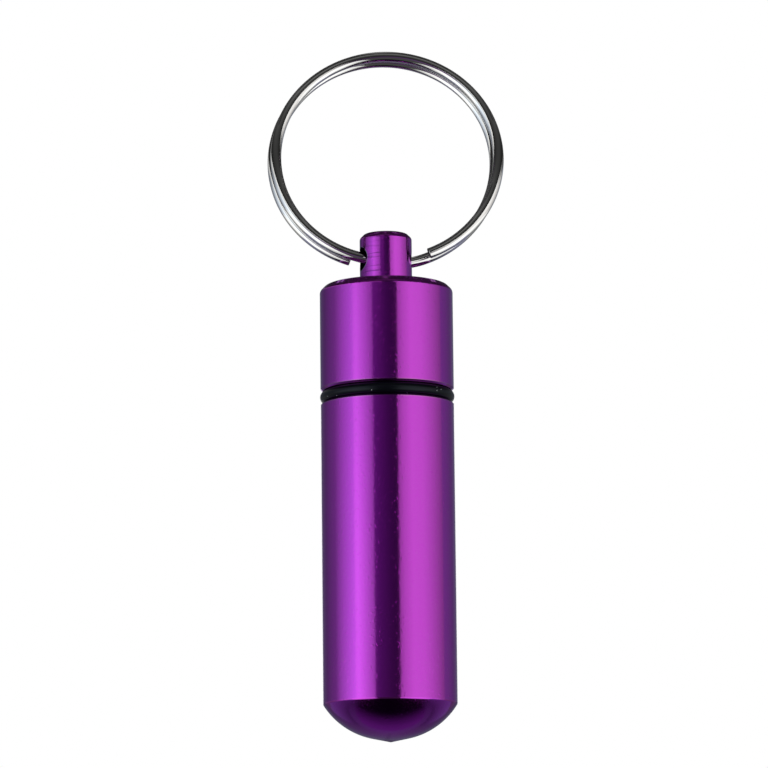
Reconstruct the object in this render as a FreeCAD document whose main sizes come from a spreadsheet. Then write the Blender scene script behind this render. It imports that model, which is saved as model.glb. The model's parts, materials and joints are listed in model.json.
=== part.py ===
import FreeCAD, Part
import math
import os

import Sketcher

# A keychain pill case: a barrel with a blunt pointed end screws into a cap, an O-ring seals the joint, and
# a split key ring runs through a cross hole in the cap's post. Lengths are millimetres, angles degrees.
# +Z runs up the case, +X across the split ring, and the ring leans towards +Y. The origin is the point inside
# the top of the split ring where the case hangs.

SIZES = (
    # Barrel, from the tip of its dome up to the shoulder under the O-ring.
    ("body_diameter", 14.0),
    ("barrel_length", 35.6),
    ("dome_height", 3.95),
    ("tip_cone_radius", 2.0),
    ("tip_cone_rise", 0.43),
    ("bore_floor_height", 5.0),
    ("drill_point_angle", 118.0),
    ("rim_break", 0.2),
    # Neck and thread. The neck's length is counted from the cap's lip to the neck's mouth.
    ("neck_length", 7.0),
    ("neck_lead", 0.4),
    ("neck_wall", 1.2),
    ("mouth_break", 0.3),
    ("thread_depth", 0.5),
    ("thread_pitch", 1.0),
    ("thread_clearance", 0.1),
    ("groove_mouth_share", 0.78),
    ("groove_floor_share", 0.28),
    ("groove_overrun_share", 0.2),
    # O-ring, squeezed between the shoulder and the cap's lip.
    ("seat_depth", 0.55),
    ("seal_gap", 1.3),
    ("seal_proud", 0.05),
    ("seal_flat_width", 0.7),
    ("seat_clearance", 0.03),
    ("seal_clearance", 0.02),
    # Screw cap and its post.
    ("cap_height", 11.2),
    ("cap_wall", 1.0),
    ("cap_chamfer", 0.6),
    ("neck_end_gap", 1.0),
    ("relief_length", 1.2),
    ("relief_depth", 0.05),
    ("post_diameter", 5.5),
    ("post_height", 5.55),
    ("post_chamfer", 0.5),
    ("hole_diameter", 2.5),
    ("hole_height", 2.8),
    ("hole_turn", 16.0),
    ("cut_overrun", 1.0),
    # Split ring of flattened wire in two coils. Angles run from the ring's lowest point, positive to +X.
    ("ring_outer_diameter", 24.8),
    ("wire_width", 1.15),
    ("wire_thickness", 0.95),
    ("wire_corner_radius", 0.4),
    ("coil_pitch", 1.4),
    ("coil_shift", 0.3),
    ("wire_drop", 0.33),
    ("front_end_angle", 21.0),
    ("crossover_start_angle", 18.0),
    ("crossover_end_angle", 20.0),
    ("back_end_angle", 18.5),
    ("ring_lean", 11.7),
)

ARCS_PER_COIL = 4
GAP_STATIONS_PER_ARC = 40

doc = FreeCAD.newDocument("pill_case")
sheet = doc.addObject("Spreadsheet::Sheet", "Sizes")
for row, (alias, value) in enumerate(SIZES, start=1):
    sheet.set(f"A{row}", alias)
    sheet.set(f"B{row}", str(value))
    sheet.setAlias(f"B{row}", alias)
doc.recompute()

# Formulas that more than one piece uses.
BODY_RADIUS = "Sizes.body_diameter / 2"
POST_RADIUS = "Sizes.post_diameter / 2"
THREAD_RADIUS = f"({BODY_RADIUS} - Sizes.cap_wall)"
BORE_RADIUS = f"({THREAD_RADIUS} - Sizes.neck_wall)"
SEAT_RADIUS = f"({THREAD_RADIUS} - Sizes.seat_depth)"
DRILL_POINT = f"({BORE_RADIUS} / tan(Sizes.drill_point_angle * 1deg / 2))"
THREAD_ROOT = f"({THREAD_RADIUS} - Sizes.thread_depth)"
SOCKET_RADIUS = f"({THREAD_ROOT} + Sizes.thread_clearance)"
SOCKET_GROOVE = f"({THREAD_RADIUS} + Sizes.thread_clearance)"
SOCKET_DEPTH = "(Sizes.neck_length + Sizes.neck_end_gap)"
POST_TOP = "(Sizes.cap_height + Sizes.post_height)"
NECK_TOP = "(Sizes.barrel_length + Sizes.seal_gap + Sizes.neck_length)"
FLANK_SLOPE = (
    "((Sizes.groove_mouth_share - Sizes.groove_floor_share) * Sizes.thread_pitch / Sizes.thread_depth)"
)
GROOVE_OVERRUN = "(Sizes.groove_overrun_share * Sizes.thread_depth)"
RING_RADIUS = "((Sizes.ring_outer_diameter - Sizes.wire_width) / 2)"
HOOK_REACH = f"(2 * {RING_RADIUS} - Sizes.wire_drop - Sizes.wire_width / 2)"
AXIS_Y = f"-{HOOK_REACH} * sin(Sizes.ring_lean * 1deg)"
HOLE_Z = f"-{HOOK_REACH} * cos(Sizes.ring_lean * 1deg)"
CAP_Z = f"({HOLE_Z} - Sizes.hole_height - Sizes.cap_height)"
SHOULDER_Z = f"({CAP_Z} - Sizes.seal_gap)"
BARREL_Z = f"({SHOULDER_Z} - Sizes.barrel_length)"


def worth(formula):
    """The number that a formula of the sheet's sizes gives now."""
    return float(sheet.evalExpression(formula.replace("Sizes.", "")))


def new_body(label, height):
    """An empty body on the case's axis, with its own zero at the given height."""
    body = doc.addObject("PartDesign::Body", label)
    body.Label = label
    body.setExpression("Placement.Base.y", AXIS_Y)
    body.setExpression("Placement.Base.z", height)
    return body


def origin_item(body, role):
    """One of the body's own planes or axes, found by its role."""
    return next(item for item in body.Origin.OriginFeatures if item.Role == role)


def new_sketch(body, name, role):
    """An empty sketch on one of the body's own planes."""
    sketch = body.newObject("Sketcher::SketchObject", name)
    sketch.AttachmentSupport = [(origin_item(body, role), "")]
    sketch.MapMode = "FlatFace"
    return sketch


def arc_edge(start, end, radius):
    """The arc from start to end that turns left, as the sketch stores it."""
    chord = end - start
    left = FreeCAD.Vector(-chord.y, chord.x, 0).normalize()
    centre = start + chord * 0.5 + left * math.sqrt(radius ** 2 - chord.Length ** 2 / 4)
    from_start = start - centre
    from_end = end - centre
    circle = Part.Circle(centre, FreeCAD.Vector(0, 0, 1), radius)
    return Part.ArcOfCircle(
        circle, math.atan2(from_start.y, from_start.x), math.atan2(from_end.y, from_end.x)
    )


def tangent_radius(before, start, end):
    """Radius of the arc from start to end that carries on from the line before it."""
    heading = (start - before).normalize()
    left = FreeCAD.Vector(-heading.y, heading.x, 0)
    chord = end - start
    return chord.Length ** 2 / (2 * chord.dot(left))


def pin_place(sketch, edge, along, formula):
    """Hold the start of an edge at a formula's distance from the origin, along X or Y."""
    if formula == "0":
        axis = -2 if along == "X" else -1
        sketch.addConstraint(Sketcher.Constraint("PointOnObject", edge, 1, axis))
        return
    index = sketch.addConstraint(
        Sketcher.Constraint("Distance" + along, -1, 1, edge, 1, worth(formula))
    )
    sketch.setExpression(f"Constraints[{index}]", formula)


def outline(body, name, role, corners):
    """A closed outline, drawn to the left around its inside.

    A corner is (across, up, leaving): two formulas for its place, and the edge that leaves it, which is ""
    for a line, "tangent" for an arc that carries on from the line before, or the formula of an arc's radius.
    """
    sketch = new_sketch(body, name, role)
    points = [FreeCAD.Vector(worth(across), worth(up), 0) for across, up, leaving in corners]
    count = len(corners)
    for index, (across, up, leaving) in enumerate(corners):
        start = points[index]
        end = points[(index + 1) % count]
        if leaving == "":
            sketch.addGeometry(Part.LineSegment(start, end))
        elif leaving == "tangent":
            sketch.addGeometry(arc_edge(start, end, tangent_radius(points[index - 1], start, end)))
        else:
            sketch.addGeometry(arc_edge(start, end, worth(leaving)))
    for index, (across, up, leaving) in enumerate(corners):
        joint = "Tangent" if leaving == "tangent" else "Coincident"
        sketch.addConstraint(Sketcher.Constraint(joint, (index - 1) % count, 2, index, 1))
        pin_place(sketch, index, "X", across)
        pin_place(sketch, index, "Y", up)
        if leaving not in ("", "tangent"):
            number = sketch.addConstraint(Sketcher.Constraint("Radius", index, worth(leaving)))
            sketch.setExpression(f"Constraints[{number}]", leaving)
    doc.recompute()
    return sketch


def turn(body, name, corners):
    """Turn an outline of radii and heights about the body's axis."""
    sketch = outline(body, name + "_outline", "XZ_Plane", corners)
    solid = body.newObject("PartDesign::Revolution", name)
    solid.Profile = sketch
    solid.ReferenceAxis = (sketch, ["V_Axis"])
    solid.Angle = 360
    body.Tip = solid
    doc.recompute()


def thread_groove(body, name, corners, length):
    """Cut a right-hand helical groove of the given outline into the body."""
    sketch = outline(body, name + "_outline", "XZ_Plane", corners)
    before = body.Shape.Volume
    groove = body.newObject("PartDesign::SubtractiveHelix", name)
    groove.Profile = sketch
    groove.ReferenceAxis = (sketch, ["V_Axis"])
    groove.Mode = "pitch-height-angle"
    groove.setExpression("Pitch", "Sizes.thread_pitch")
    groove.setExpression("Height", length)
    groove.LeftHanded = False
    groove.Reversed = False
    body.Tip = groove
    doc.recompute()
    if not body.Shape.Volume < before:
        raise RuntimeError(name + " cut nothing")


def make_barrel():
    """Domed tube with a threaded neck. Its own zero is the tip of the dome."""
    body = new_body("barrel", BARREL_Z)
    thread_start = "(Sizes.barrel_length + Sizes.seal_gap)"
    lead_rise = f"({THREAD_RADIUS} - {SEAT_RADIUS})"
    turn(body, "barrel_turned", [
        ("0", "0", ""),
        ("Sizes.tip_cone_radius", "Sizes.tip_cone_rise", "tangent"),
        (BODY_RADIUS, "Sizes.dome_height", ""),
        (BODY_RADIUS, "Sizes.barrel_length - Sizes.rim_break", ""),
        (f"{BODY_RADIUS} - Sizes.rim_break", "Sizes.barrel_length", ""),
        (SEAT_RADIUS, "Sizes.barrel_length", ""),
        (SEAT_RADIUS, thread_start, ""),
        (THREAD_RADIUS, f"{thread_start} + {lead_rise}", ""),
        (THREAD_RADIUS, f"{NECK_TOP} - Sizes.neck_lead", ""),
        (f"{THREAD_RADIUS} - Sizes.neck_lead", NECK_TOP, ""),
        (f"{BORE_RADIUS} + Sizes.mouth_break", NECK_TOP, ""),
        (BORE_RADIUS, f"{NECK_TOP} - Sizes.mouth_break", ""),
        (BORE_RADIUS, "Sizes.bore_floor_height", ""),
        ("0", f"Sizes.bore_floor_height - {DRILL_POINT}", ""),
    ])
    # The groove starts in the O-ring's seat, no wider than the thread's root, and runs out at the top.
    start = "(Sizes.barrel_length + Sizes.seal_gap / 2)"
    floor_half = "(Sizes.groove_floor_share * Sizes.thread_pitch / 2)"
    mouth_half = f"({floor_half} + {FLANK_SLOPE} / 2 * (Sizes.thread_depth + {GROOVE_OVERRUN}))"
    outer = f"{THREAD_RADIUS} + {GROOVE_OVERRUN}"
    thread_groove(body, "barrel_thread", [
        (THREAD_ROOT, f"{start} - {floor_half}", ""),
        (outer, f"{start} - {mouth_half}", ""),
        (outer, f"{start} + {mouth_half}", ""),
        (THREAD_ROOT, f"{start} + {floor_half}", ""),
    ], f"{NECK_TOP} + Sizes.thread_pitch - {start}")
    return body


def make_cap():
    """Cap with a threaded socket and a drilled post. Its own zero is the lower face of its lip."""
    body = new_body("screw_cap", CAP_Z)
    relief_radius = f"{SOCKET_GROOVE} + Sizes.relief_depth"
    relief_start = f"{SOCKET_DEPTH} - Sizes.relief_length"
    turn(body, "cap_turned", [
        (SOCKET_GROOVE, "0", ""),
        (f"{BODY_RADIUS} - Sizes.rim_break", "0", ""),
        (BODY_RADIUS, "Sizes.rim_break", ""),
        (BODY_RADIUS, "Sizes.cap_height - Sizes.cap_chamfer", ""),
        (f"{BODY_RADIUS} - Sizes.cap_chamfer", "Sizes.cap_height", ""),
        (POST_RADIUS, "Sizes.cap_height", ""),
        (POST_RADIUS, f"{POST_TOP} - Sizes.post_chamfer", ""),
        (f"{POST_RADIUS} - Sizes.post_chamfer", POST_TOP, ""),
        ("0", POST_TOP, ""),
        ("0", SOCKET_DEPTH, ""),
        (relief_radius, SOCKET_DEPTH, ""),
        (relief_radius, relief_start, ""),
        (SOCKET_RADIUS, relief_start, ""),
        (SOCKET_RADIUS, "Sizes.thread_depth", ""),
    ])
    # Half a pitch away from the barrel's groove, so that each thread's ridge lies in the other's groove.
    start = "(-(Sizes.seal_gap + Sizes.thread_pitch) / 2)"
    ridge_half = "((1 - Sizes.groove_mouth_share) * Sizes.thread_pitch / 2 + Sizes.thread_clearance)"
    floor_half = f"({ridge_half} - {FLANK_SLOPE} / 2 * Sizes.thread_clearance)"
    mouth_half = f"({floor_half} + {FLANK_SLOPE} / 2 * (Sizes.thread_depth + {GROOVE_OVERRUN}))"
    inner = f"{SOCKET_RADIUS} - {GROOVE_OVERRUN}"
    thread_groove(body, "cap_thread", [
        (inner, f"{start} - {mouth_half}", ""),
        (SOCKET_GROOVE, f"{start} - {floor_half}", ""),
        (SOCKET_GROOVE, f"{start} + {floor_half}", ""),
        (inner, f"{start} + {mouth_half}", ""),
    ], f"{SOCKET_DEPTH} - Sizes.relief_length / 2 - {start}")
    drill_post(body)
    return body


def drill_post(body):
    """Drill the cross hole for the split ring through the post, its left end turned towards the front."""
    sketch = new_sketch(body, "cross_hole_outline", "YZ_Plane")
    about_the_post = FreeCAD.Rotation(FreeCAD.Vector(0, 1, 0), worth("Sizes.hole_turn"))
    sketch.AttachmentOffset = FreeCAD.Placement(FreeCAD.Vector(), about_the_post)
    sketch.setExpression("AttachmentOffset.Rotation.Angle", "Sizes.hole_turn * 1deg")
    height = "Sizes.cap_height + Sizes.hole_height"
    centre = FreeCAD.Vector(0, worth(height), 0)
    circle = Part.Circle(centre, FreeCAD.Vector(0, 0, 1), worth("Sizes.hole_diameter") / 2)
    sketch.addGeometry(circle)
    sketch.addConstraint(Sketcher.Constraint("PointOnObject", 0, 3, -2))
    rise = sketch.addConstraint(Sketcher.Constraint("DistanceY", -1, 1, 0, 3, worth(height)))
    width = sketch.addConstraint(Sketcher.Constraint("Diameter", 0, worth("Sizes.hole_diameter")))
    sketch.setExpression(f"Constraints[{rise}]", height)
    sketch.setExpression(f"Constraints[{width}]", "Sizes.hole_diameter")
    doc.recompute()
    before = body.Shape.Volume
    hole = body.newObject("PartDesign::Pocket", "cross_hole")
    hole.Profile = sketch
    hole.Type = "Length"
    hole.SideType = "Symmetric"
    hole.setExpression("Length", "Sizes.post_diameter + 2 * Sizes.cut_overrun")
    body.Tip = hole
    doc.recompute()
    if not body.Shape.Volume < before:
        raise RuntimeError("the cross hole cut nothing")


def make_seal():
    """O-ring squeezed to flats above and below. Its own zero is the barrel's shoulder."""
    body = new_body("o_ring", SHOULDER_Z)
    inner = f"({SEAT_RADIUS} + Sizes.seat_clearance)"
    outer = f"({BODY_RADIUS} + Sizes.seal_proud)"
    low = "Sizes.seal_clearance"
    high = "(Sizes.seal_gap - Sizes.seal_clearance)"
    bulge = f"(({outer} - {inner} - Sizes.seal_flat_width) / 2)"
    half_height = f"(({high} - {low}) / 2)"
    side_radius = f"({half_height} ^ 2 + {bulge} ^ 2) / (2 * {bulge})"
    turn(body, "seal_turned", [
        (f"{inner} + {bulge}", low, ""),
        (f"{outer} - {bulge}", low, side_radius),
        (f"{outer} - {bulge}", high, ""),
        (f"{inner} + {bulge}", high, side_radius),
    ])
    return body


def coil_point(angle, centre_x, y):
    """A point of a coil's centre line. Angles run from the lowest point, positive to +X."""
    radius = worth(RING_RADIUS)
    turned = math.radians(angle)
    rise = radius - worth("Sizes.wire_drop")
    return FreeCAD.Vector(centre_x + radius * math.sin(turned), y, rise - radius * math.cos(turned))


def coil_heading(angle):
    """Direction of the wire at an angle of a coil."""
    turned = math.radians(angle)
    return FreeCAD.Vector(math.cos(turned), 0, math.sin(turned))


def coil_arcs(first, last, centre_x, y):
    """The arcs of one flat coil between two angles."""
    step = (last - first) / ARCS_PER_COIL
    arcs = []
    for number in range(ARCS_PER_COIL):
        angle = first + number * step
        stops = (angle, angle + step / 2, angle + step)
        arcs.append(Part.Arc(*(coil_point(stop, centre_x, y) for stop in stops)))
    return arcs


def arc_from_heading(start, heading, end):
    """The arc that leaves start along a heading and ends at end."""
    chord = end - start
    along = FreeCAD.Vector(chord).normalize()
    across = (heading - along * heading.dot(along)).normalize()
    half_turn = heading.getAngle(chord)
    middle = start + chord * 0.5 + across * (chord.Length / 2 * math.tan(half_turn / 2))
    return Part.Arc(start, middle, end)


def crossover_arcs(start, heading, end, end_heading):
    """Two arcs that carry the wire from one coil over to the other, smooth at both ends and in between."""
    chord = end - start
    both = heading + end_heading
    spread = 2 * (1 - heading.dot(end_heading))
    ahead = chord.dot(both)
    reach = (math.sqrt(ahead ** 2 + spread * chord.dot(chord)) - ahead) / spread
    middle = (start + end + (heading - end_heading) * reach) * 0.5
    first = arc_from_heading(start, heading, middle)
    last = arc_from_heading(end, end_heading * -1, middle)
    points = [last.StartPoint, last.value((last.FirstParameter + last.LastParameter) / 2), last.EndPoint]
    return [first, Part.Arc(points[2], points[1], points[0])]


def ring_arcs():
    """The split ring's centre line: front coil, crossover through the post's hole, back coil."""
    half_pitch = worth("Sizes.coil_pitch") / 2
    shift = worth("Sizes.coil_shift")
    leaves = -worth("Sizes.crossover_start_angle")
    joins = worth("Sizes.crossover_end_angle")
    front = coil_arcs(worth("Sizes.front_end_angle"), leaves + 360, shift, -half_pitch)
    back = coil_arcs(joins, 360 - worth("Sizes.back_end_angle"), 0, half_pitch)
    crossover = crossover_arcs(
        coil_point(leaves, shift, -half_pitch),
        coil_heading(leaves),
        coil_point(joins, 0, half_pitch),
        coil_heading(joins),
    )
    return front + crossover + back


def wire_section():
    """Rounded rectangle across the wire at the front coil's end."""
    angle = worth("Sizes.front_end_angle")
    centre = coil_point(angle, worth("Sizes.coil_shift"), -worth("Sizes.coil_pitch") / 2)
    outward = FreeCAD.Vector(math.sin(math.radians(angle)), 0, -math.cos(math.radians(angle)))
    backward = FreeCAD.Vector(0, 1, 0)
    half_width = worth("Sizes.wire_width") / 2
    half_thickness = worth("Sizes.wire_thickness") / 2
    corner = worth("Sizes.wire_corner_radius")
    bow = corner * (1 - math.sqrt(0.5))

    def at(across, along):
        return centre + outward * across + backward * along

    edges = []
    for out_sign, back_sign in ((1, -1), (1, 1), (-1, 1), (-1, -1)):
        width = out_sign * half_width
        thickness = back_sign * half_thickness
        on_side = at(width, thickness - back_sign * corner)
        on_face = at(width - out_sign * corner, thickness)
        between = at(width - out_sign * bow, thickness - back_sign * bow)
        if out_sign * back_sign > 0:
            edges.append(Part.Arc(on_side, between, on_face))
        else:
            edges.append(Part.Arc(on_face, between, on_side))
    outline_edges = []
    for number, arc in enumerate(edges):
        following = edges[(number + 1) % len(edges)]
        outline_edges.append(arc.toShape())
        outline_edges.append(Part.LineSegment(arc.EndPoint, following.StartPoint).toShape())
    return Part.Wire(outline_edges)


def least_gap(arcs):
    """Least distance between the wire's neighbouring turns, from points on its centre line."""
    stations = []
    for arc in arcs:
        span = arc.LastParameter - arc.FirstParameter
        for step in range(GAP_STATIONS_PER_ARC):
            stations.append(arc.value(arc.FirstParameter + span * step / GAP_STATIONS_PER_ARC))
    apart = ARCS_PER_COIL // 2 * GAP_STATIONS_PER_ARC
    nearest = min(
        here.distanceToPoint(there)
        for number, here in enumerate(stations)
        for there in stations[number + apart:]
    )
    return nearest - worth("Sizes.wire_thickness")


def make_ring():
    """Split ring of one unbroken wire, leaning back from the cap. Its own zero is the cross hole's centre."""
    arcs = ring_arcs()
    path = Part.Wire([arc.toShape() for arc in arcs])
    section = wire_section()
    ring = doc.addObject("Part::Feature", "split_ring")
    ring.Label = "split_ring"
    ring.Shape = path.makePipeShell([section], True, False)
    ring.Placement = FreeCAD.Placement(
        FreeCAD.Vector(0, worth(AXIS_Y), worth(HOLE_Z)),
        FreeCAD.Rotation(FreeCAD.Vector(1, 0, 0), -worth("Sizes.ring_lean")),
    )
    expected = Part.Face(section).Area * path.Length
    share = ring.Shape.Volume / expected
    print(f"split ring: least gap {least_gap(arcs):.3f} mm, volume {share:.4f} of expected")
    return ring


def check_and_write(pieces):
    """Refuse a failed model, then write each piece to its own file."""
    doc.recompute()
    for item in doc.Objects:
        if "Invalid" in item.State or "Error" in item.State:
            raise RuntimeError(f"{item.Name} failed: {item.State}")
    for piece in pieces:
        if piece.Shape.isNull() or not piece.Shape.isValid():
            raise RuntimeError(piece.Label + " has no valid shape")
    os.makedirs("parts", exist_ok=True)
    for piece in pieces:
        piece.Shape.exportStep(f"parts/{piece.Label}.step")
        box = piece.Shape.BoundBox
        print(f"{piece.Label}: {len(piece.Shape.Solids)} solid, {piece.Shape.Volume:.2f} mm3,"
              f" z {box.ZMin:.3f} to {box.ZMax:.3f}")


check_and_write([make_barrel(), make_cap(), make_seal(), make_ring()])
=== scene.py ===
import json
import math

import bmesh
import bpy
from mathutils import Matrix, Vector


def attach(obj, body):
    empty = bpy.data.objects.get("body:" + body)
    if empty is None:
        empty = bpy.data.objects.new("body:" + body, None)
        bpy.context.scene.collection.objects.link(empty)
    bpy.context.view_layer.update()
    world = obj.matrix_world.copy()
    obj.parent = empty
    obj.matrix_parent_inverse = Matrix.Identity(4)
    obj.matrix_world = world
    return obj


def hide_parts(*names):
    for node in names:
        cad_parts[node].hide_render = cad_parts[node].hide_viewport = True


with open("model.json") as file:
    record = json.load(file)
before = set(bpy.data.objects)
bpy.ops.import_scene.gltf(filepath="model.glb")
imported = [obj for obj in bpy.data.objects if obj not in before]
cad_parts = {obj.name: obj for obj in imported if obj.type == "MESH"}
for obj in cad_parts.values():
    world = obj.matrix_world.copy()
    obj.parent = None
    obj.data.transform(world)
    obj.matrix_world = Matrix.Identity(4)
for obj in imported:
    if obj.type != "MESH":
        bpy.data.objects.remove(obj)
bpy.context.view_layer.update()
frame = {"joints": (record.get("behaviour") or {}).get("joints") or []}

# Lengths are millimetres and angles degrees. Only the studio's lengths, further down, are metres.
MM = 0.001
WELD = 0.0005
UPRIGHT = (0, 0, 1)

# Barrel, with heights from its tip
BODY_RADIUS = 7.0
BARREL_LENGTH = 35.6
DOME_HEIGHT = 3.95
DOME_EDGE_ROUND = 0.08
TIP_CONE_RADIUS = 2.0
TIP_CONE_RISE = 0.43
RIM_BREAK = 0.2
NECK_LENGTH = 7.0
NECK_LEAD = 0.4
MOUTH_BREAK = 0.3
BORE_RADIUS = 4.8
BORE_FLOOR = 5.0
DRILL_POINT_ANGLE = 118.0
SEAT_RADIUS = 5.45

# Thread of neck and socket
THREAD_RADIUS = 6.0
THREAD_DEPTH = 0.5
THREAD_PITCH = 1.0
THREAD_CLEARANCE = 0.1
RIDGE_CREST_WIDTH = 0.22
RIDGE_ROOT_WIDTH = 0.72
CAP_RIDGE_CREST_WIDTH = 0.18
CAP_RIDGE_ROOT_WIDTH = 0.68
RIDGE_SUNK = 0.05
RIDGE_RUN_OUT_TURNS = 0.35

# Cap, with heights from its lip
CAP_HEIGHT = 11.2
CAP_CHAMFER = 0.6
CAP_EDGE_ROUND = 0.2
SOCKET_DEPTH = 8.0
RELIEF_LENGTH = 1.2
RELIEF_DEPTH = 0.05
POST_RADIUS = 2.75
POST_HEIGHT = 5.55
POST_CHAMFER = 0.5
POST_EDGE_ROUND = 0.16
POST_FOOT_ROUND = 0.08
HOLE_RADIUS = 1.25
HOLE_HEIGHT = 2.8

# O-ring, between the barrel's shoulder and the cap's lip
SEAL_GAP = 1.3
SEAL_CLEARANCE = 0.02
SEAL_INNER_RADIUS = 5.48
SEAL_OUTER_RADIUS = 7.05
SEAL_FLAT = 0.7

# Split ring, with angles from its lowest point, positive to the right
RING_RADIUS = 11.825
RING_LEAN = 11.7
WIRE_WIDTH = 1.15
WIRE_THICKNESS = 0.95
WIRE_CORNER = 0.4
WIRE_CROWN_SHARE = 0.4
WIRE_END_BREAK = 0.05
WIRE_DROP = 0.33
RING_RISE = RING_RADIUS - WIRE_DROP
COIL_PITCH = 1.4
COIL_SHIFT = 0.3
FRONT_END = 21.0
CROSSOVER_START = -18.0
CROSSOVER_END = 20.0
BACK_END = 341.5

# Fineness of the meshes
BODY_STEPS = 160
DOME_STEPS = 36
SEAL_STEPS = 16
HOLE_STEPS = 80
POST_BANDS = 28
THREAD_STEPS = 64
COIL_STEPS = 200
CROSSOVER_STEPS = 16
CORNER_STEPS = 6
CROWN_CUTS = 6
SHARP_ANGLE = 28

# Colours of the finishes
PURPLE_DYE = (0.50, 0.036, 0.59)
# Paler dye along the rims: partly edge wear, partly a painted highlight line.
WEAR_AND_HIGHLIGHT_DYE = (0.48, 0.11, 0.5)
# Dark lines on the post: painted dark reflections of its turning marks.
DARK_REFLECTION_DYE = (0.2, 0.012, 0.26)
HOLE_EDGE = (0.42, 0.36, 0.52)
# Darker dye inside the cross hole: painted shade.
HOLE_WALL_SHADE = (0.2, 0.015, 0.24)
GLANCING_DYE = (0.55, 0.42, 0.68, 1)
METAL_DUST = (0.75, 0.70, 0.78)
RUBBER_BLACK = (0.0015, 0.002, 0.004)
RUBBER_GLANCE = (0.75, 0.88, 1, 1)
RUBBER_DUST = (0.50, 0.52, 0.56)
NICKEL = (0.84, 0.84, 0.82, 1)
SHEARED_STEEL = (0.09, 0.09, 0.09, 1)
FLOOR_GREY = (0.9, 0.9, 0.9, 1)

# Marks in the finishes, among them painted highlight and shade. What ends in per mm is the noise's fineness
# along X, Y and Z.
# Pale rim patches: partly edge wear, partly a painted highlight line.
RIM_WEAR_AND_HIGHLIGHT = 0.09
RIM_WEAR_AND_HIGHLIGHT_PER_MM = (1.6, 1.6, 1.6)
HOLE_EDGE_WIDTH = 0.06
# Patch of the post where dark lines are painted across its highlight: painted dark reflections of the turning
# marks.
DARK_LINES_PLACE = Vector((-1.7, -2.2, 0))
DARK_LINES_RADIUS = 0.7
DARK_LINES_FADE_RADIUS = 1.5
DARK_LINES_PER_MM = (0.15, 0.15, 3.2)
DARK_LINE_LEVELS = (0.48, 0.64)
WAVES_PER_MM = (2.2, 2.2, 2.6)
BARREL_WAVE_DEPTH = 0.006
CAP_WAVE_DEPTH = 0.004
TURNING_PER_MM = (0.12, 0.12, 5.0)
TURNING_DEPTH = 0.0003
NICKS_PER_MM = (3.6, 3.6, 3.6)
NICK_LEVELS = (0.68, 0.82)
NICK_DEPTH = 0.0058
STREAKS_PER_MM = (9.0, 9.0, 9.0)
STREAK_DEPTH = 0.001
STREAK_DRAWN_SHARE = 0.012
HANDLING_PER_MM = (1.2, 1.2, 1.2)
SHEAR_LINES_PER_MM = (2.0, 2.0, 12.0)
SHEAR_LINE_DEPTH = 0.01

# Studio, in metres. The cards stand around the case, at heights from their middle.
CARD_REACH = 0.28
CARD_MIDDLE = -0.012
CARD_STEP_ANGLE = 2
CARD_LEAST_STEPS = 4
LEVEL_CARD_HALF = CARD_REACH * 1.05
LEVEL_CARD_SQUARES = 28
CEILING_HEIGHT = 0.48
CEILING_TAPER = 3
LOW_FLAG_HEIGHT = -0.42
FLOOR_HALF = 3.0
FLOOR_HEIGHT = -1.0
ROOM_LIGHT = 0.7

# Elevations of the cards' borders, from the lowest to the highest
SKIRT_FOOT = -57
CARD_FOOT = -50
LOW_SILL = -38
FAR_SILL = -29
SILL = -10
FRONT_SILL = -9
RAIL = -2
REAR_RAIL = 4
LINTEL = 14
TRANSOM_TOP = 21
FRIEZE_TOP = 44
CARD_TOP = 60

# Tints of the cards
GREY = (1, 1, 1)
COOL = (0.97, 1.04, 1.10)
BLUE = (0.94, 1.03, 1.17)
WARM = (1.03, 1.0, 0.99)
DUSK = (0.95, 0.45, 1.3)
SLATE = (0.9, 0.97, 1.15)
VIOLET = (1.0, 1.0, 1.4)

# The cross hole's centre is the ring's hinge; every other place is measured from it.
swing = next(joint for joint in frame["joints"] if joint["name"] == "ring_swing")
hinge = Vector(swing["pos_m"])
hole_axis = Vector(swing["axis"])
cap_place = hinge - Vector((0, 0, (HOLE_HEIGHT + CAP_HEIGHT) * MM))
seal_place = cap_place - Vector((0, 0, SEAL_GAP * MM))
barrel_place = seal_place - Vector((0, 0, BARREL_LENGTH * MM))


def node(tree, kind, **settings):
    """A new shader node with its settings."""
    made = tree.nodes.new(kind)
    for name, value in settings.items():
        setattr(made, name, value)
    return made


def finish_shader(name):
    """A new material, its node tree and its main shader."""
    material = bpy.data.materials.new(name)
    material.use_nodes = True
    return material, material.node_tree, material.node_tree.nodes["Principled BSDF"]


def piece_millimetres(tree):
    """Object coordinates in millimetres."""
    place = node(tree, "ShaderNodeTexCoord")
    larger = node(tree, "ShaderNodeVectorMath", operation="SCALE")
    larger.inputs["Scale"].default_value = 1 / MM
    tree.links.new(place.outputs["Object"], larger.inputs[0])
    return larger.outputs["Vector"]


def reckon(tree, operation, first, second):
    """A sum on a value and a second one, which may be a plain number."""
    made = node(tree, "ShaderNodeMath", operation=operation)
    tree.links.new(first, made.inputs[0])
    if isinstance(second, float):
        made.inputs[1].default_value = second
    else:
        tree.links.new(second, made.inputs[1])
    return made.outputs[0]


def ramp(tree, value, black, white, shape="SMOOTHSTEP"):
    """A change from black at one value to white at another."""
    change = node(tree, "ShaderNodeMapRange", interpolation_type=shape)
    change.inputs["From Min"].default_value = black
    change.inputs["From Max"].default_value = white
    tree.links.new(value, change.inputs["Value"])
    return change.outputs["Result"]


def noise(tree, where, per_mm, detail=3.0):
    """Noise with its own fineness along each axis."""
    place = node(tree, "ShaderNodeMapping")
    place.inputs["Scale"].default_value = per_mm
    marks = node(tree, "ShaderNodeTexNoise")
    marks.inputs["Scale"].default_value = 1.0
    marks.inputs["Detail"].default_value = detail
    tree.links.new(where, place.inputs["Vector"])
    tree.links.new(place.outputs["Vector"], marks.inputs["Vector"])
    return marks.outputs["Fac"]


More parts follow.
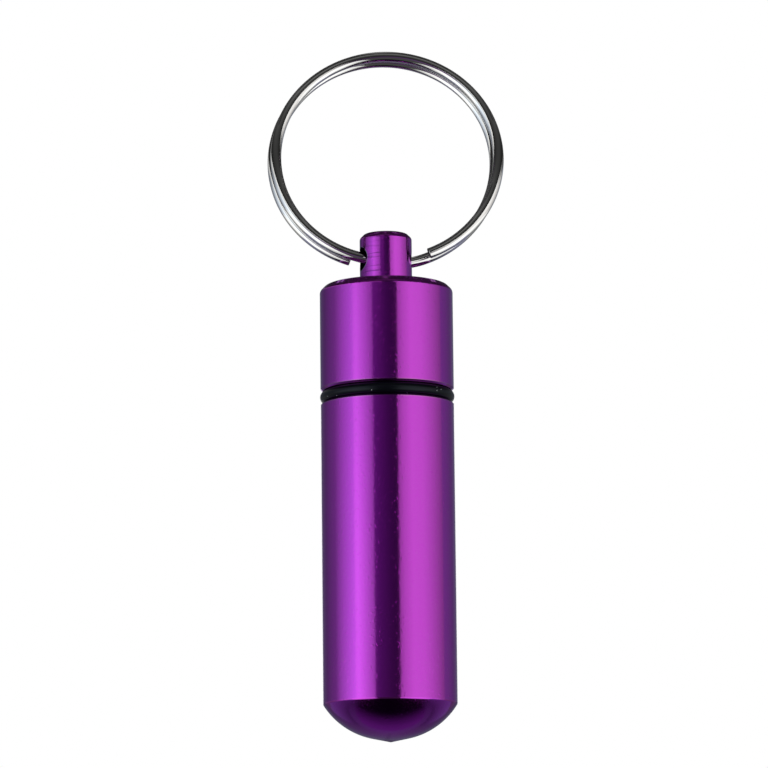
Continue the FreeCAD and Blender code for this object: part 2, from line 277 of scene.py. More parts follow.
def bump(tree, marks, depth, under=None):
    """Marks in the surface, on top of other ones."""
    made = node(tree, "ShaderNodeBump")
    made.inputs["Strength"].default_value = 1.0
    made.inputs["Distance"].default_value = depth * MM
    tree.links.new(marks, made.inputs["Height"])
    if under:
        tree.links.new(under, made.inputs["Normal"])
    return made.outputs["Normal"]


def specks(tree, where, per_mm, size, share):
    """White where a few scattered dots of dust lie."""
    cells = node(tree, "ShaderNodeTexVoronoi", feature="F1")
    cells.inputs["Scale"].default_value = per_mm
    cells.inputs["Randomness"].default_value = 1.0
    split = node(tree, "ShaderNodeSeparateColor")
    tree.links.new(where, cells.inputs["Vector"])
    tree.links.new(cells.outputs["Color"], split.inputs["Color"])
    near = reckon(tree, "LESS_THAN", cells.outputs["Distance"], size)
    chosen = reckon(tree, "LESS_THAN", split.outputs["Red"], share)
    return reckon(tree, "MULTIPLY", near, chosen)


def cover_colour(tree, factor, under, colour):
    """A colour over another one, where the factor is white."""
    mix = node(tree, "ShaderNodeMix", data_type="RGBA")
    mix.inputs["B"].default_value = (*colour, 1)
    tree.links.new(factor, mix.inputs["Factor"])
    if isinstance(under, tuple):
        mix.inputs["A"].default_value = (*under, 1)
    else:
        tree.links.new(under, mix.inputs["A"])
    return mix.outputs["Result"]


def blend_number(tree, factor, first, second):
    """A number that goes from the first to the second with the factor."""
    mix = node(tree, "ShaderNodeMix", data_type="FLOAT")
    mix.inputs["A"].default_value = first
    mix.inputs["B"].default_value = second
    tree.links.new(factor, mix.inputs["Factor"])
    return mix.outputs["Result"]


def distance_to_axis(tree, where, point, axis):
    """Millimetres from a line through a point."""
    offset = node(tree, "ShaderNodeVectorMath", operation="SUBTRACT")
    offset.inputs[1].default_value = point / MM
    across = node(tree, "ShaderNodeVectorMath", operation="CROSS_PRODUCT")
    across.inputs[1].default_value = axis
    distance = node(tree, "ShaderNodeVectorMath", operation="LENGTH")
    tree.links.new(where, offset.inputs[0])
    tree.links.new(offset.outputs["Vector"], across.inputs[0])
    tree.links.new(across.outputs["Vector"], distance.inputs[0])
    return distance.outputs["Value"]


def wear_and_highlight_rim(tree, where, height):
    """White in uneven patches along the body's rim at a height, where a paler colour is painted: partly edge
    wear, partly a painted highlight line.
    """
    split = node(tree, "ShaderNodeSeparateXYZ")
    section = node(tree, "ShaderNodeCombineXYZ")
    distance = node(tree, "ShaderNodeVectorMath", operation="LENGTH")
    tree.links.new(where, split.inputs["Vector"])
    outward = reckon(tree, "SUBTRACT", distance_to_axis(tree, where, hinge, UPRIGHT), BODY_RADIUS)
    upward = reckon(tree, "SUBTRACT", split.outputs["Z"], height)
    tree.links.new(outward, section.inputs["X"])
    tree.links.new(upward, section.inputs["Z"])
    tree.links.new(section.outputs["Vector"], distance.inputs[0])
    reach = reckon(tree, "MULTIPLY", noise(tree, where, RIM_WEAR_AND_HIGHLIGHT_PER_MM), 2 * RIM_WEAR_AND_HIGHLIGHT)
    return reckon(tree, "LESS_THAN", distance.outputs["Value"], reach)


def painted_dark_lines(tree, where):
    """White along a few uneven turned lines on one patch of the post, where dark lines are painted across its
    highlight: painted dark reflections of the turning marks.
    """
    from_place = distance_to_axis(tree, where, hinge + DARK_LINES_PLACE * MM, UPRIGHT)
    on_patch = ramp(tree, from_place, DARK_LINES_FADE_RADIUS, DARK_LINES_RADIUS)
    lines = ramp(tree, noise(tree, where, DARK_LINES_PER_MM), *DARK_LINE_LEVELS, "LINEAR")
    return reckon(tree, "MULTIPLY", lines, on_patch)


def anodised_aluminium(name, rim_height, wave_depth, drilled):
    """Turned aluminium, dyed purple and sealed: sharp around the case, drawn out along it by turning."""
    material, tree, shader = finish_shader(name)
    where = piece_millimetres(tree)
    dust = specks(tree, where, per_mm=0.7, size=0.03, share=0.05)
    colour = cover_colour(tree, dust, PURPLE_DYE, METAL_DUST)
    # Paler colour along the rim: partly edge wear, partly a painted highlight line.
    colour = cover_colour(tree, wear_and_highlight_rim(tree, where, rim_height), colour, WEAR_AND_HIGHLIGHT_DYE)
    if drilled:
        from_hole = distance_to_axis(tree, where, hinge, hole_axis)
        at_edge = reckon(tree, "LESS_THAN", from_hole, HOLE_RADIUS + HOLE_EDGE_WIDTH)
        in_hole = reckon(tree, "LESS_THAN", from_hole, HOLE_RADIUS + WELD)
        colour = cover_colour(tree, at_edge, colour, HOLE_EDGE)
        # Painted shade: darker colour inside the cross hole.
        colour = cover_colour(tree, in_hole, colour, HOLE_WALL_SHADE)
        # Painted dark reflections: dark lines across the post's highlight.
        colour = cover_colour(tree, painted_dark_lines(tree, where), colour, DARK_REFLECTION_DYE)
    waves = bump(tree, noise(tree, where, WAVES_PER_MM), wave_depth)
    turned = bump(tree, noise(tree, where, TURNING_PER_MM), TURNING_DEPTH, waves)
    nicks = ramp(tree, noise(tree, where, NICKS_PER_MM, detail=0.0), *NICK_LEVELS)
    around = node(tree, "ShaderNodeTangent", direction_type="RADIAL", axis="Z")
    tree.links.new(colour, shader.inputs["Base Color"])
    tree.links.new(bump(tree, nicks, NICK_DEPTH, turned), shader.inputs["Normal"])
    tree.links.new(blend_number(tree, dust, 1.0, 0.0), shader.inputs["Metallic"])
    tree.links.new(blend_number(tree, dust, 0.15, 0.8), shader.inputs["Roughness"])
    tree.links.new(around.outputs["Tangent"], shader.inputs["Tangent"])
    shader.inputs["Specular Tint"].default_value = GLANCING_DYE
    shader.inputs["Anisotropic"].default_value = 0.6
    shader.inputs["Anisotropic Rotation"].default_value = 0.25
    shader.inputs["Coat Weight"].default_value = 0.75
    shader.inputs["Coat Roughness"].default_value = 0.10
    shader.inputs["Coat IOR"].default_value = 1.5
    return material


def black_rubber():
    """Moulded rubber with a little dust on it."""
    material, tree, shader = finish_shader("black_rubber")
    dust = specks(tree, piece_millimetres(tree), per_mm=2.2, size=0.11, share=0.2)
    tree.links.new(cover_colour(tree, dust, RUBBER_BLACK, RUBBER_DUST), shader.inputs["Base Color"])
    shader.inputs["Roughness"].default_value = 0.28
    shader.inputs["Specular IOR Level"].default_value = 0.22
    shader.inputs["Specular Tint"].default_value = RUBBER_GLANCE
    return material


def plated_wire():
    """Bright nickel plate over drawn wire, whose streaks run along it."""
    material, tree, shader = finish_shader("plated_wire")
    where = piece_millimetres(tree)
    section = node(tree, "ShaderNodeCombineXYZ")
    for layer, axis in (("across", "X"), ("through", "Y")):
        painted = node(tree, "ShaderNodeAttribute", attribute_name=layer)
        tree.links.new(painted.outputs["Fac"], section.inputs[axis])
    slow = node(tree, "ShaderNodeVectorMath", operation="SCALE")
    slow.inputs["Scale"].default_value = STREAK_DRAWN_SHARE
    drawn = node(tree, "ShaderNodeVectorMath", operation="ADD")
    tree.links.new(where, slow.inputs[0])
    tree.links.new(section.outputs["Vector"], drawn.inputs[0])
    tree.links.new(slow.outputs["Vector"], drawn.inputs[1])
    streaks = noise(tree, drawn.outputs["Vector"], STREAKS_PER_MM)
    handling = noise(tree, where, HANDLING_PER_MM, detail=4.0)
    tree.links.new(bump(tree, streaks, STREAK_DEPTH), shader.inputs["Normal"])
    tree.links.new(blend_number(tree, handling, 0.03, 0.09), shader.inputs["Roughness"])
    shader.inputs["Base Color"].default_value = NICKEL
    shader.inputs["Metallic"].default_value = 1.0
    return material


def cut_wire():
    """Bare steel where the wire was sheared off."""
    material, tree, shader = finish_shader("cut_wire")
    shear_lines = noise(tree, piece_millimetres(tree), SHEAR_LINES_PER_MM)
    tree.links.new(bump(tree, shear_lines, SHEAR_LINE_DEPTH), shader.inputs["Normal"])
    shader.inputs["Base Color"].default_value = SHEARED_STEEL
    shader.inputs["Metallic"].default_value = 1.0
    shader.inputs["Roughness"].default_value = 0.45
    return material


def go_on(bm, point, corners):
    """Carry a chain of edges on from a point through (radius, height) corners, to the last one."""
    for radius, height in corners:
        following = bm.verts.new((radius, 0, height))
        bm.edges.new((point, following))
        point = following
    return point


def chain(bm, corners):
    """A new chain of straight edges through (radius, height) corners, to the last one."""
    radius, height = corners[0]
    return go_on(bm, bm.verts.new((radius, 0, height)), corners[1:])


def sweep(bm, point, centre, turn, steps):
    """Carry a chain on from a point along an arc, which turns left for a positive angle."""
    made = bmesh.ops.spin(
        bm, geom=[point], cent=(centre[0], 0, centre[1]), axis=(0, -1, 0), angle=turn, steps=steps,
        use_merge=False,
    )
    return next(item for item in made["geom_last"] if isinstance(item, bmesh.types.BMVert))


def lathe(bm, steps):
    """Turn everything in the bmesh once around the upright axis."""
    bmesh.ops.spin(
        bm, geom=bm.verts[:] + bm.edges[:], cent=(0, 0, 0), axis=UPRIGHT, angle=math.tau, steps=steps,
        use_merge=True,
    )
    bmesh.ops.remove_doubles(bm, verts=bm.verts, dist=WELD)
    bmesh.ops.recalc_face_normals(bm, faces=bm.faces)


def rim(bm, radius, height):
    """The edges of the circle at a radius and height."""
    on_rim = {
        vert for vert in bm.verts
        if abs(math.hypot(vert.co.x, vert.co.y) - radius) < WELD and abs(vert.co.z - height) < WELD
    }
    return [edge for edge in bm.edges if on_rim.issuperset(edge.verts)]


def soften(bm, edges, size, segments=3):
    """Round edges over, or break them with one segment, and keep the faces beside them flat."""
    made = bmesh.ops.bevel(
        bm, geom=edges, offset=size, offset_type="OFFSET", segments=segments, profile=0.5,
        affect="EDGES", material=-1, clamp_overlap=True,
    )
    rounded = set(made["faces"])
    for face in rounded:
        for edge in face.edges:
            if not rounded.issuperset(edge.link_faces):
                edge.smooth = False


def joined_to(points):
    """The points and all that edges join to them."""
    found = set(points)
    grown = list(points)
    while grown:
        vert = grown.pop()
        for edge in vert.link_edges:
            other = edge.other_vert(vert)
            if other not in found:
                found.add(other)
                grown.append(other)
    return found


def thread_ridge(bm, root, crest, root_width, crest_width, start, turns):
    """A helical ridge between two radii, whose middle begins at a height, and which runs out at both ends."""
    corners = ((root, -root_width), (crest, -crest_width), (crest, crest_width), (root, root_width))
    points = [bm.verts.new((radius, 0, start + width / 2)) for radius, width in corners]
    first = [bm.edges.new((points[number - 1], points[number])) for number in range(len(points))]
    steps = round(turns * THREAD_STEPS)
    made = bmesh.ops.spin(
        bm, geom=points + first, cent=(0, 0, 0), axis=UPRIGHT, dvec=(0, 0, THREAD_PITCH / THREAD_STEPS),
        angle=math.tau * steps / THREAD_STEPS, steps=steps, use_merge=False,
    )
    last = [item for item in made["geom_last"] if isinstance(item, bmesh.types.BMEdge)]
    for ends in (first, last):
        bmesh.ops.edgeloop_fill(bm, edges=ends)
    ridge = joined_to(points)
    for vert in ridge:
        angle = math.atan2(vert.co.y, vert.co.x) / math.tau
        turn = angle + round((vert.co.z - start) / THREAD_PITCH - angle)
        from_end = min(turn, steps / THREAD_STEPS - turn)
        share = max(0.0, min(1.0, from_end / RIDGE_RUN_OUT_TURNS))
        radius = math.hypot(vert.co.x, vert.co.y)
        wanted = root + (radius - root) * share
        vert.co.x *= wanted / radius
        vert.co.y *= wanted / radius
    bmesh.ops.recalc_face_normals(bm, faces=[face for face in bm.faces if ridge.issuperset(face.verts)])


def make_piece(name, bm, place, material):
    """Put a bmesh in millimetres at its place, and let it stand for the CAD node of its name."""
    bm.transform(Matrix.Translation(place) @ Matrix.Scale(MM, 4))
    for face in bm.faces:
        face.smooth = True
    for edge in bm.edges:
        if len(edge.link_faces) == 2 and edge.calc_face_angle() > math.radians(SHARP_ANGLE):
            edge.smooth = False
    mesh = bpy.data.meshes.new(name + "_dressed")
    bm.to_mesh(mesh)
    bm.free()
    mesh.materials.append(material)
    dressed = bpy.data.objects.new(name + "_dressed", mesh)
    bpy.context.scene.collection.objects.link(dressed)
    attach(dressed, name)
    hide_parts(name)
    return dressed


def make_barrel(material):
    """Domed barrel with its threaded neck and drilled chamber."""
    bm = bmesh.new()
    cone_end = Vector((TIP_CONE_RADIUS, TIP_CONE_RISE))
    heading = cone_end.normalized()
    left = Vector((-heading.y, heading.x))
    chord = Vector((BODY_RADIUS, DOME_HEIGHT)) - cone_end
    dome_radius = chord.length_squared / (2 * chord.dot(left))
    dome_turn = 2 * heading.angle(chord)
    neck_start = BARREL_LENGTH + SEAL_GAP
    neck_top = neck_start + NECK_LENGTH
    core = THREAD_RADIUS - THREAD_DEPTH
    drill_point = BORE_RADIUS / math.tan(math.radians(DRILL_POINT_ANGLE / 2))
    point = chain(bm, [(0, 0), tuple(cone_end)])
    point = sweep(bm, point, cone_end + left * dome_radius, dome_turn, DOME_STEPS)
    go_on(bm, point, [
        (BODY_RADIUS, BARREL_LENGTH),
        (SEAT_RADIUS, BARREL_LENGTH),
        (SEAT_RADIUS, neck_start),
        (core, neck_start),
        (core, neck_top),
        (BORE_RADIUS, neck_top),
        (BORE_RADIUS, BORE_FLOOR),
        (0, BORE_FLOOR - drill_point),
    ])
    lathe(bm, BODY_STEPS)
    soften(bm, rim(bm, BODY_RADIUS, DOME_HEIGHT), DOME_EDGE_ROUND)
    soften(bm, rim(bm, BODY_RADIUS, BARREL_LENGTH), RIM_BREAK, segments=1)
    soften(bm, rim(bm, core, neck_top), RIM_BREAK)
    soften(bm, rim(bm, BORE_RADIUS, neck_top), MOUTH_BREAK, segments=1)
    start = BARREL_LENGTH + SEAL_GAP / 2 + THREAD_PITCH / 2
    turns = (neck_top - NECK_LEAD - start - THREAD_PITCH / 4) / THREAD_PITCH
    thread_ridge(bm, core - RIDGE_SUNK, THREAD_RADIUS, RIDGE_ROOT_WIDTH, RIDGE_CREST_WIDTH, start, turns)
    return make_piece("barrel", bm, barrel_place, material)


def drill_post(bm):
    """Drill the cross hole through the post, along the ring's hinge."""
    drill = bmesh.new()
    reach = POST_RADIUS + HOLE_RADIUS
    chain(drill, [(0, -reach), (HOLE_RADIUS, -reach), (HOLE_RADIUS, reach), (0, reach)])
    lathe(drill, HOLE_STEPS)
    laid_along = hole_axis.to_track_quat("Z", "Y").to_matrix().to_4x4()
    drill.transform(Matrix.Translation((0, 0, CAP_HEIGHT + HOLE_HEIGHT)) @ laid_along)
    blank = bpy.data.objects.new("cap_blank", bpy.data.meshes.new("cap_blank"))
    bit = bpy.data.objects.new("drill", bpy.data.meshes.new("drill"))
    for tool, shape in ((blank, bm), (bit, drill)):
        shape.to_mesh(tool.data)
        bpy.context.scene.collection.objects.link(tool)
    drill.free()
    cut = blank.modifiers.new("cross_hole", "BOOLEAN")
    cut.operation = "DIFFERENCE"
    cut.solver = "EXACT"
    cut.object = bit
    drilled = bpy.data.meshes.new_from_object(blank.evaluated_get(bpy.context.evaluated_depsgraph_get()))
    bm.clear()
    bm.from_mesh(drilled)
    for tool in (blank, bit):
        spent = tool.data
        bpy.data.objects.remove(tool)
        bpy.data.meshes.remove(spent)
    bpy.data.meshes.remove(drilled)


def make_cap(material):
    """Screw cap: chamfered top, drilled post and threaded socket."""
    bm = bmesh.new()
    post_top = CAP_HEIGHT + POST_HEIGHT
    socket = THREAD_RADIUS + THREAD_CLEARANCE
    run_out = socket + RELIEF_DEPTH
    band = (POST_HEIGHT - POST_CHAMFER) / POST_BANDS
    point = chain(bm, [
        (0, SOCKET_DEPTH),
        (run_out, SOCKET_DEPTH),
        (run_out, SOCKET_DEPTH - RELIEF_LENGTH),
        (socket, SOCKET_DEPTH - RELIEF_LENGTH),
        (socket, 0),
        (BODY_RADIUS, 0),
        (BODY_RADIUS, CAP_HEIGHT - CAP_CHAMFER),
        (BODY_RADIUS - CAP_CHAMFER, CAP_HEIGHT),
    ])
    point = go_on(bm, point, [(POST_RADIUS, CAP_HEIGHT + band * count) for count in range(POST_BANDS + 1)])
    go_on(bm, point, [(POST_RADIUS - POST_CHAMFER, post_top), (0, post_top)])
    lathe(bm, BODY_STEPS)
    soften(bm, rim(bm, BODY_RADIUS, 0), RIM_BREAK, segments=1)
    soften(bm, rim(bm, socket, 0), RIM_BREAK, segments=2)
    soften(bm, rim(bm, BODY_RADIUS, CAP_HEIGHT - CAP_CHAMFER), CAP_EDGE_ROUND, CORNER_STEPS)
    soften(bm, rim(bm, BODY_RADIUS - CAP_CHAMFER, CAP_HEIGHT), CAP_EDGE_ROUND, CORNER_STEPS)
    soften(bm, rim(bm, POST_RADIUS, CAP_HEIGHT), POST_FOOT_ROUND)
    soften(bm, rim(bm, POST_RADIUS, post_top - POST_CHAMFER), POST_EDGE_ROUND, CORNER_STEPS)
    soften(bm, rim(bm, POST_RADIUS - POST_CHAMFER, post_top), POST_EDGE_ROUND, CORNER_STEPS)
    start = -SEAL_GAP / 2 + THREAD_PITCH
    turns = (SOCKET_DEPTH - RELIEF_LENGTH - start - THREAD_PITCH / 4) / THREAD_PITCH
    root, crest = socket + RIDGE_SUNK, socket - THREAD_DEPTH
    thread_ridge(bm, root, crest, CAP_RIDGE_ROOT_WIDTH, CAP_RIDGE_CREST_WIDTH, start, turns)
    drill_post(bm)
    return make_piece("screw_cap", bm, cap_place, material)


def make_seal(material):
    """O-ring squeezed between shoulder and lip."""
    bm = bmesh.new()
    low = SEAL_CLEARANCE
    high = SEAL_GAP - SEAL_CLEARANCE
    bulge = (SEAL_OUTER_RADIUS - SEAL_INNER_RADIUS - SEAL_FLAT) / 2
    half_height = (high - low) / 2
    side_radius = (half_height ** 2 + bulge ** 2) / (2 * bulge)
    side_turn = 2 * math.asin(half_height / side_radius)
    middle = (low + high) / 2
    point = chain(bm, [(SEAL_INNER_RADIUS + bulge, low), (SEAL_OUTER_RADIUS - bulge, low)])
    point = sweep(bm, point, (SEAL_OUTER_RADIUS - side_radius, middle), side_turn, SEAL_STEPS)
    point = go_on(bm, point, [(SEAL_INNER_RADIUS + bulge, high)])
    sweep(bm, point, (SEAL_INNER_RADIUS + side_radius, middle), side_turn, SEAL_STEPS)
    lathe(bm, BODY_STEPS)
    return make_piece("o_ring", bm, seal_place, material)


def coil_point(angle, centre_x, y):
    """A point of a coil's middle line."""
    turned = math.radians(angle)
    return Vector((centre_x + RING_RADIUS * math.sin(turned), y, RING_RISE - RING_RADIUS * math.cos(turned)))


def coil_heading(angle):
    """Direction of the wire at an angle of a coil."""
    turned = math.radians(angle)
    return Vector((math.cos(turned), 0, math.sin(turned)))


def bend(start, heading, end):
    """Centre, axis and angle of the arc that leaves start along a heading and ends at end."""
    chord = end - start
    inward = (chord - heading * chord.dot(heading)).normalized()
    radius = chord.length_squared / (2 * chord.dot(inward))
    return start + inward * radius, heading.cross(inward), 2 * heading.angle(chord)


def wire_bends():
    """Centre, axis, angle and steps of the wire's four bends: front coil, two of the crossover, back coil."""
    half_pitch = COIL_PITCH / 2
    leaves = coil_point(CROSSOVER_START, COIL_SHIFT, -half_pitch)
    joins = coil_point(CROSSOVER_END, 0, half_pitch)
    heading = coil_heading(CROSSOVER_START)
    end_heading = coil_heading(CROSSOVER_END)
    chord = joins - leaves
    spread = 2 * (1 - heading.dot(end_heading))
    ahead = chord.dot(heading + end_heading)
    reach = (math.sqrt(ahead ** 2 + spread * chord.length_squared) - ahead) / spread
    midway = (leaves + joins + (heading - end_heading) * reach) / 2
    over_centre, over_axis, over_turn = bend(leaves, heading, midway)
    back_centre, back_axis, back_turn = bend(joins, -end_heading, midway)
    front_coil_turn = math.radians(CROSSOVER_START + 360 - FRONT_END)
    back_coil_turn = math.radians(BACK_END - CROSSOVER_END)
    return (
        ((COIL_SHIFT, -half_pitch, RING_RISE), (0, -1, 0), front_coil_turn, COIL_STEPS),
        (over_centre, over_axis, over_turn, CROSSOVER_STEPS),
        (back_centre, -back_axis, back_turn, CROSSOVER_STEPS),
        ((0, half_pitch, RING_RISE), (0, -1, 0), back_coil_turn, COIL_STEPS),
    )


def wire_section(bm):
    """Outline of the flattened wire, its broad faces crowned, with its own places painted on it."""
    corners = bmesh.ops.create_grid(bm, x_segments=1, y_segments=1, size=0.5)["verts"]
    bmesh.ops.scale(bm, vec=(WIRE_WIDTH, WIRE_THICKNESS, 1), verts=corners)
    bmesh.ops.bevel(
        bm, geom=corners, offset=WIRE_CORNER, offset_type="OFFSET", segments=CORNER_STEPS, profile=0.5,
        affect="VERTICES", material=-1,
    )
    bmesh.ops.delete(bm, geom=bm.faces[:], context="FACES_ONLY")
    face_height = WIRE_THICKNESS / 2 - WELD
    broad = [edge for edge in bm.edges if all(abs(vert.co.y) > face_height for vert in edge.verts)]
    bmesh.ops.subdivide_edges(bm, edges=broad, cuts=CROWN_CUTS)
    across = bm.verts.layers.float.new("across")
    through = bm.verts.layers.float.new("through")
    for vert in bm.verts:
        vert.co.y *= 1 - WIRE_CROWN_SHARE * (vert.co.x / (WIRE_WIDTH / 2)) ** 2
        vert[across] = vert.co.x
        vert[through] = vert.co.y


def make_ring(material, end_material):
    """Split ring: one length of flattened wire wound into two coils, with square ends."""
    bm = bmesh.new()
    wire_section(bm)
    front_end = Matrix.Translation(coil_point(FRONT_END, COIL_SHIFT, -COIL_PITCH / 2))
    bm.transform(front_end @ Matrix.Rotation(math.radians(90 - FRONT_END), 4, "Y"))
    first = bm.edges[:]
    loop = bm.verts[:] + first
    for centre, axis, turn, steps in wire_bends():
        loop = bmesh.ops.spin(
            bm, geom=loop, cent=centre, axis=axis, angle=turn, steps=steps, use_merge=False
        )["geom_last"]
    last = [item for item in loop if isinstance(item, bmesh.types.BMEdge)]
    for ends in (first, last):
        bmesh.ops.edgeloop_fill(bm, edges=ends, mat_nr=1)
    bmesh.ops.recalc_face_normals(bm, faces=bm.faces)
    soften(bm, first + last, WIRE_END_BREAK, segments=2)
    bm.transform(Matrix.Rotation(math.radians(-RING_LEAN), 4, "X"))
    ring = make_piece("split_ring", bm, hinge, material)
    ring.data.materials.append(end_material)


def make_camera():
    """Long lens below the case, looking up at it."""
    distance = 474.34 * MM
    drop = 41.35 * MM
    round_to_left = math.radians(1.72)
    pitch = math.radians(9.458)
    yaw = math.radians(-0.0395)
    roll = math.radians(0.586)
    lens = bpy.data.cameras.new("camera")
    lens.sensor_width = 36.0
    lens.lens = 214.64
    lens.clip_start = 0.01
    camera = bpy.data.objects.new("camera", lens)
    bpy.context.scene.collection.objects.link(camera)
    forward = Vector((math.sin(yaw) * math.cos(pitch), math.cos(yaw) * math.cos(pitch), math.sin(pitch)))
    level = Vector((math.cos(yaw), -math.sin(yaw), 0))
    upward = level.cross(forward)
    right = level * math.cos(roll) - upward * math.sin(roll)
    top = level * math.sin(roll) + upward * math.cos(roll)
    facing = Matrix((right, top, -forward)).transposed().to_4x4()
    turned = Matrix.Rotation(-round_to_left, 4, "Z")
    camera.matrix_world = (
        Matrix.Translation(barrel_place) @ turned @ Matrix.Translation((0, -distance, -drop)) @ facing
    )
    bpy.context.scene.camera = camera


def make_world():
    """White all round as the camera and shiny surfaces see it, softer as a light."""
    world = bpy.data.worlds.new("studio")
    world.use_nodes = True
    tree = world.node_tree
    tree.nodes.clear()
    path = node(tree, "ShaderNodeLightPath")
    light = node(tree, "ShaderNodeBackground")
    light.inputs["Strength"].default_value = ROOM_LIGHT
    white = node(tree, "ShaderNodeBackground")
    white.inputs["Color"].default_value = (1, 1, 1, 1)
    white.inputs["Strength"].default_value = 1.0
    mix = node(tree, "ShaderNodeMixShader")
    result = node(tree, "ShaderNodeOutputWorld")
    seen = reckon(tree, "MAXIMUM", path.outputs["Is Camera Ray"], path.outputs["Is Glossy Ray"])
    seen = reckon(tree, "MAXIMUM", seen, path.outputs["Is Transmission Ray"])
    tree.links.new(seen, mix.inputs["Fac"])
    tree.links.new(light.outputs[0], mix.inputs[1])
    tree.links.new(white.outputs[0], mix.inputs[2])
    tree.links.new(mix.outputs[0], result.inputs["Surface"])
    bpy.context.scene.world = world


def make_floor():
    """Plain pale floor, well below the hanging case."""
    material, _, shader = finish_shader("pale_floor")
    shader.inputs["Base Color"].default_value = FLOOR_GREY
    shader.inputs["Roughness"].default_value = 0.9
    shader.inputs["Specular IOR Level"].default_value = 0.1
    bm = bmesh.new()
    bmesh.ops.create_grid(bm, x_segments=1, y_segments=1, size=FLOOR_HALF)
    bmesh.ops.translate(bm, vec=(0, 0, FLOOR_HEIGHT), verts=bm.verts)
    mesh = bpy.data.meshes.new("floor")
    bm.to_mesh(mesh)
    bm.free()
    mesh.materials.append(material)
    floor = bpy.data.objects.new("floor", mesh)
    bpy.context.scene.collection.objects.link(floor)


def painted_glow(name):
    """A material whose glow is painted on the mesh."""
    material = bpy.data.materials.new(name)
    material.use_nodes = True
    tree = material.node_tree
    tree.nodes.clear()
    painted = node(tree, "ShaderNodeAttribute", attribute_name="glow")
    glow = node(tree, "ShaderNodeEmission")
    result = node(tree, "ShaderNodeOutputMaterial")
    tree.links.new(painted.outputs["Color"], glow.inputs["Color"])
    tree.links.new(glow.outputs[0], result.inputs["Surface"])
    return material


def between(stops, where):
    """Brightness at a place between stops of (place, brightness)."""
    for (first, first_glow), (last, last_glow) in zip(stops, stops[1:]):
        if first <= where <= last:
            return first_glow + (last_glow - first_glow) * (where - first) / (last - first)
    return stops[0][1] if where < stops[0][0] else stops[-1][1]


def mirrored(stops):
    """The same stops on the other side of the case."""
    return tuple((-azimuth, glow) for azimuth, glow in reversed(stops))


def azimuth_of(place):
    """Degrees to the right of the camera's side, seen from the case."""
    return math.degrees(math.atan2(place.x - hinge.x, hinge.y - place.y))


def azimuth_past_rear(place):
    """The same, running on past 180 degrees behind the case."""
    return azimuth_of(place) % 360


def depth_of(place):
    """Distance behind the case."""
    return place.y - hinge.y


def rear_strip_of(place):
    """Distance behind the case, less what a strip that narrows towards the case leaves at its sides."""
    return depth_of(place) - CEILING_TAPER * abs(place.x - hinge.x)


def place_card(name, bm, measure, stops, tint, material, top_share=1.0):
    """A card that only reflections see, its glow painted by a measure of the place and a share at its top."""
    mesh = bpy.data.meshes.new(name)
    bm.to_mesh(mesh)
    bm.free()
    glow = mesh.attributes.new("glow", "FLOAT_COLOR", "POINT")
    top = max(vert.co.z for vert in mesh.vertices) - WELD * MM
    for vert, painted in zip(mesh.vertices, glow.data):
        level = between(stops, measure(vert.co)) * (top_share if vert.co.z > top else 1.0)
        painted.color = (*(level * part for part in tint), 1)
    mesh.materials.append(material)
    card = bpy.data.objects.new(name, mesh)
    bpy.context.scene.collection.objects.link(card)
    card.visible_camera = False
    card.visible_diffuse = False
    card.visible_transmission = False
    card.visible_shadow = False


def side_card(name, low, high, tint, top_share, stops, material):
    """An upright curved card between two elevations, with its azimuths and brightness given by stops."""
    bm = bmesh.new()
    first, last = stops[0][0], stops[-1][0]
    azimuth = math.radians(first)
    foot = Vector((hinge.x + CARD_REACH * math.sin(azimuth), hinge.y - CARD_REACH * math.cos(azimuth), 0))
    heights = [CARD_MIDDLE + CARD_REACH * math.tan(math.radians(angle)) for angle in (low, high)]
    ends = [bm.verts.new((foot.x, foot.y, height)) for height in heights]
    edge = bm.edges.new(ends)
    bmesh.ops.spin(
        bm, geom=ends + [edge], cent=(hinge.x, hinge.y, 0), axis=UPRIGHT, angle=math.radians(last - first),
        steps=max(CARD_LEAST_STEPS, round((last - first) / CARD_STEP_ANGLE)), use_merge=False,
    )
    place_card(name, bm, azimuth_past_rear if last > 180 else azimuth_of, stops, tint, material, top_share)


def level_card(name, height, measure, tint, stops, material):
    """A level card at a height, painted by a measure of the place."""
    bm = bmesh.new()
    bmesh.ops.create_grid(
        bm, x_segments=LEVEL_CARD_SQUARES, y_segments=LEVEL_CARD_SQUARES, size=LEVEL_CARD_HALF
    )
    bmesh.ops.translate(bm, vec=(hinge.x, hinge.y, CARD_MIDDLE + height), verts=bm.verts)
    place_card(name, bm, measure, stops, tint, material)


def make_lamp(name, azimuth, height, reach, width, tall, power, colour):
    """A soft upright lamp at an azimuth from the camera's side, facing the case."""
    lamp = bpy.data.lights.new(name, "AREA")
    lamp.shape = "RECTANGLE"
    lamp.size = width
    lamp.size_y = tall
    lamp.energy = power
    lamp.color = colour
    stand = bpy.data.objects.new(name, lamp)
    bpy.context.scene.collection.objects.link(stand)
    stand.visible_glossy = False
    turned = math.radians(azimuth)
    target = Vector((hinge.x, hinge.y, CARD_MIDDLE))
    place = target + Vector((reach * math.sin(turned), -reach * math.cos(turned), height))
    facing = (target - place).to_track_quat("-Z", "Y").to_matrix().to_4x4()
    stand.matrix_world = Matrix.Translation(place) @ facing


